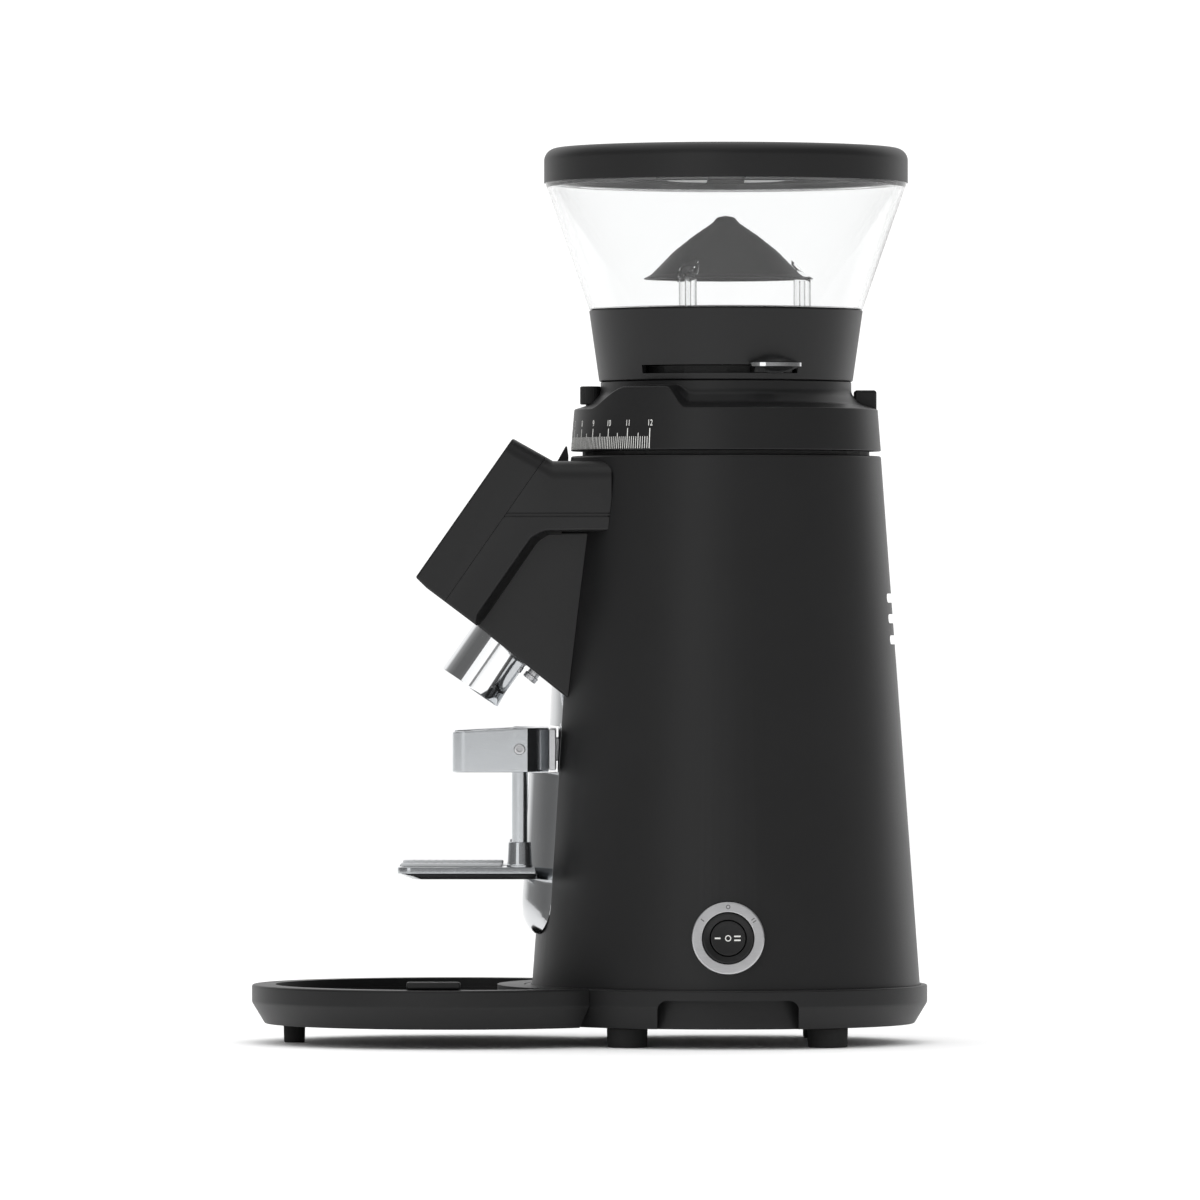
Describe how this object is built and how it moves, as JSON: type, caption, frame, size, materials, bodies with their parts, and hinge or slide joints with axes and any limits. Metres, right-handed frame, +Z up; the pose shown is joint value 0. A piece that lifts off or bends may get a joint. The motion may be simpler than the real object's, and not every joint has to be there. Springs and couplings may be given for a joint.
{
  "type": "burr coffee grinder",
  "caption": "Upright espresso grinder with tapered round housing, slanted display head and spout, portafilter yoke and fork, dial, clear hopper with lid, and round drip tray.",
  "frame": {"origin": "middle of the footprint, on the worktop", "axes": "+Z up, -Y towards the front (drip tray), +X towards the switch side"},
  "size_m": [0.2094, 0.3512, 0.4648],
  "materials": {
    "housing_paint": "fine satin black powder coat",
    "moulded_black": "fine-grained satin black moulding",
    "guard_plastic": "satin dark grey moulding",
    "chrome": "mirror polished",
    "brushed_steel": "fine brushed",
    "burr_steel": "ground hardened steel",
    "cast_aluminium": "cast and machined",
    "motor_iron": "coated",
    "black_rubber": "matt",
    "pad_rubber": "smooth grey",
    "clear_plastic": "clear polished",
    "display_glass": "black gloss",
    "circuit_board": "solder mask",
    "capacitor_case": "smooth grey"
  },
  "bodies": {
    "housing": {"base_ring": "housing_paint", "bottom_cover": "housing_paint", "foot_front_left": "black_rubber", "foot_front_right": "black_rubber", "foot_rear_left": "black_rubber", "foot_rear_right": "black_rubber", "body_shell": "housing_paint", "front_shield": "chrome", "switch_bezel": "brushed_steel", "switch_housing": "moulded_black", "head_front_cover": "moulded_black", "head_shell": "moulded_black", "head_fairing": "moulded_black", "display_glass": "display_glass", "display_board": "circuit_board", "index_pointer": "moulded_black", "spout": "chrome", "chute": "cast_aluminium", "button_spring": "brushed_steel", "yoke": "chrome", "yoke_bracket": "brushed_steel", "yoke_screw_left": "brushed_steel", "yoke_screw_right": "brushed_steel", "cable_gland": "moulded_black", "grind_chamber": "cast_aluminium", "motor_mount": "cast_aluminium", "motor_stator": "motor_iron", "run_capacitor": "capacitor_case", "control_board": "circuit_board"},
    "dial": {"dial_ring": "housing_paint"},
    "burr_carriage": {"upper_burr_carrier": "brushed_steel", "upper_burr": "burr_steel"},
    "lock_knob": {"lock_knob": "moulded_black"},
    "rotor": {"rotor_shaft": "brushed_steel", "lower_burr_carrier": "cast_aluminium", "lower_burr": "burr_steel", "burr_nut": "brushed_steel", "cooling_fan": "moulded_black"},
    "hopper": {"hopper_collar": "housing_paint", "hopper": "clear_plastic", "guard_cone": "guard_plastic"},
    "shutter": {"shutter_disc": "moulded_black", "shutter_tab": "chrome"},
    "lid": {"hopper_lid": "moulded_black", "lid_seal": "black_rubber"},
    "rocker": {"rocker": "moulded_black"},
    "start_button": {"start_button": "chrome"},
    "fork": {"fork_plate": "chrome", "fork_rod_left": "chrome", "fork_rod_right": "chrome", "fork_pad_left": "pad_rubber", "fork_pad_right": "pad_rubber"},
    "tray": {"drip_tray": "moulded_black", "tray_foot": "black_rubber"},
    "liner": {"tray_liner": "moulded_black"}
  },
  "joints": [
    {"name": "dial_turn", "type": "hinge", "parent": "housing", "child": "dial", "pos_m": [0, 0.0709, 0.325], "axis": [0, 0, 1], "range_deg": [-60, 60]},
    {"name": "burr_lift", "type": "slide", "parent": "dial", "child": "burr_carriage", "axis": [0, 0, 1], "range_m": [-0.00026, 0.00026]},
    {"name": "lock_turn", "type": "hinge", "parent": "dial", "child": "lock_knob", "pos_m": [0, 0.0005, 0.336], "axis": [0, 0, 1], "range_deg": [0, 180]},
    {"name": "rotor_spin", "type": "hinge", "parent": "housing", "child": "rotor", "pos_m": [0, 0.0709, 0.2], "axis": [0, 0, 1], "continuous": true},
    {"name": "hopper_lift", "type": "slide", "parent": "dial", "child": "hopper", "axis": [0, 0, 1], "range_m": [0, 0.12]},
    {"name": "shutter_turn", "type": "hinge", "parent": "hopper", "child": "shutter", "pos_m": [0, 0.0709, 0.349], "axis": [0, 0, 1], "range_deg": [-45, 0]},
    {"name": "lid_lift", "type": "slide", "parent": "hopper", "child": "lid", "axis": [0, 0, 1], "range_m": [0, 0.15]},
    {"name": "rocker_tilt", "type": "hinge", "parent": "housing", "child": "rocker", "pos_m": [0.09708, 0.0709, 0.05687], "axis": [-0.0736, 0, 0.9973], "range_deg": [-10, 10]},
    {"name": "button_press", "type": "slide", "parent": "housing", "child": "start_button", "axis": [0, 0.6257, 0.7801], "range_m": [0, 0.0023], "stiffness_N_per_m": 300},
    {"name": "fork_slide", "type": "slide", "parent": "housing", "child": "fork", "axis": [0, 0, 1], "range_m": [-0.01, 0.028]},
    {"name": "tray_slide", "type": "slide", "parent": "housing", "child": "tray", "axis": [0, -1, 0], "range_m": [0, 0.12]},
    {"name": "liner_lift", "type": "slide", "parent": "tray", "child": "liner", "axis": [0, 0, 1], "range_m": [0, 0.045]}
  ],
  "couplings": [
    {"joint": "burr_lift", "follows": "dial_turn", "m_per_rad": 0.00023873}
  ]
}
